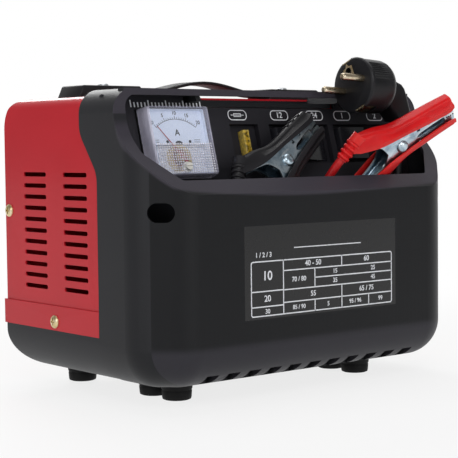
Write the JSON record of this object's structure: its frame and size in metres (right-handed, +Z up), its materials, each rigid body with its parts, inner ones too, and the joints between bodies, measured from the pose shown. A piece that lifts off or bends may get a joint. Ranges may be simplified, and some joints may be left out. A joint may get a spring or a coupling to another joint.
{
  "type": "car battery charger",
  "caption": "Bench battery charger with a leaning meter and switch panel, a front pocket for its coiled leads, spring clamps, a mains plug and a strap handle.",
  "frame": {"origin": "ground plane under the middle of the housing", "axes": "+X to the right of the panel, +Y to the rear, +Z up"},
  "size_m": [0.2636, 0.1893, 0.2159],
  "materials": {
    "black_moulding": "fine spark-eroded grain, satin",
    "panel_black": "smooth satin",
    "label_film": "printed film, semi-gloss",
    "red_steel": "gloss paint",
    "yellow_zinc": "yellow zinc plate, bright",
    "bright_steel": "plain zinc plate",
    "black_rubber": "matt",
    "handle_black": "satin",
    "meter_black": "gloss",
    "clear_cover": "clear moulded plastic",
    "dial_sheet": "matt printed card",
    "needle_black": "matt",
    "meter_brass": "machined",
    "switch_black": "matt",
    "fuse_plastic": "tinted, glossy",
    "rocker_black": "gloss",
    "core_steel": "varnished laminations",
    "copper_wire": "enamelled wire",
    "fin_aluminium": "mill finish",
    "diode_steel": "plated",
    "block_cream": "matt",
    "cord_black": "satin sheath",
    "cord_red": "satin sheath",
    "tie_white": "matt",
    "plug_rubber": "satin",
    "plated_brass": "nickel plate",
    "jaw_zinc": "bright zinc plate",
    "grip_red": "semi-gloss",
    "grip_black": "semi-gloss"
  },
  "bodies": {
    "housing": {"front_moulding": "black_moulding", "base_tray": "black_moulding", "instrument_panel": "panel_black", "rating_label": "label_film", "chassis_tray": "red_steel", "upper_cover": "red_steel", "rear_panel": "red_steel", "case_screws": "yellow_zinc", "foot_screws": "bright_steel", "handle_screws": "bright_steel", "rubber_feet": "black_rubber", "handle_strap": "handle_black", "handle_caps": "handle_black", "meter_housing": "meter_black", "meter_cover": "clear_cover", "meter_dial": "dial_sheet", "meter_movement": "meter_brass", "fuse_holder": "switch_black", "voltage_switch_body": "switch_black", "rate_switch_body": "switch_black", "transformer_core": "core_steel", "primary_winding": "copper_wire", "secondary_winding": "copper_wire", "transformer_bracket": "bright_steel", "transformer_bolts": "bright_steel", "rectifier_stack": "fin_aluminium", "rectifier_diodes": "diode_steel", "thermal_cutout": "switch_black", "terminal_block": "block_cream", "mains_gland": "cord_black", "output_glands": "cord_black", "mains_lead_in": "cord_black", "mains_coil": "cord_black", "mains_lead_out": "cord_black", "red_lead_in": "cord_red", "red_coil": "cord_red", "red_lead_out": "cord_red", "black_lead_in": "cord_black", "black_coil": "cord_black", "black_lead_out": "cord_black", "coil_ties": "tie_white", "plug_body": "plug_rubber", "plug_contacts": "plated_brass", "red_upper_jaw": "jaw_zinc", "red_rivet": "jaw_zinc", "red_spring": "jaw_zinc", "red_upper_grip": "grip_red", "black_upper_jaw": "jaw_zinc", "black_rivet": "jaw_zinc", "black_spring": "jaw_zinc", "black_upper_grip": "grip_black"},
    "needle": {"meter_needle": "needle_black"},
    "zero_screw": {"meter_zero_screw": "tie_white"},
    "fuse": {"blade_fuse": "fuse_plastic"},
    "voltage_rocker": {"voltage_rocker": "rocker_black"},
    "rate_rocker": {"rate_rocker": "rocker_black"},
    "red_clamp_lever": {"red_lower_jaw": "jaw_zinc", "red_lower_grip": "grip_red"},
    "black_clamp_lever": {"black_lower_jaw": "jaw_zinc", "black_lower_grip": "grip_black"}
  },
  "joints": [
    {"name": "voltage_rocker_tilt", "type": "hinge", "parent": "housing", "child": "voltage_rocker", "pos_m": [0.0289, -0.02729, 0.15675], "axis": [0, 0.2672, 0.9636], "range_deg": [-14, 0]},
    {"name": "rate_rocker_tilt", "type": "hinge", "parent": "housing", "child": "rate_rocker", "pos_m": [0.0867, -0.02729, 0.15675], "axis": [0, 0.2672, 0.9636], "range_deg": [-14, 0]},
    {"name": "fuse_pull", "type": "slide", "parent": "housing", "child": "fuse", "axis": [0, -0.9636, 0.2672], "range_m": [0, 0.005]},
    {"name": "needle_swing", "type": "hinge", "parent": "housing", "child": "needle", "pos_m": [-0.0793, -0.04528, 0.15177], "axis": [0, -0.9636, 0.2672], "range_deg": [-77, 0], "stiffness_Nm_per_rad": 0.00001},
    {"name": "zero_screw_turn", "type": "hinge", "parent": "housing", "child": "zero_screw", "pos_m": [-0.0793, -0.05154, 0.14604], "axis": [0, -0.9636, 0.2672], "range_deg": [-30, 30]},
    {"name": "red_clamp_squeeze", "type": "hinge", "parent": "housing", "child": "red_clamp_lever", "pos_m": [0.0752, -0.0778, 0.1593], "axis": [-0.0534, -0.8853, -0.462], "range_deg": [-24, 0], "stiffness_Nm_per_rad": 0.6, "springref_deg": 51.57, "deforming": ["red_spring"]},
    {"name": "black_clamp_squeeze", "type": "hinge", "parent": "housing", "child": "black_clamp_lever", "pos_m": [-0.0085, -0.0568, 0.1462], "axis": [0.0187, -0.9212, 0.3886], "range_deg": [-24, 0], "stiffness_Nm_per_rad": 0.6, "springref_deg": 51.57, "deforming": ["black_spring"]}
  ]
}
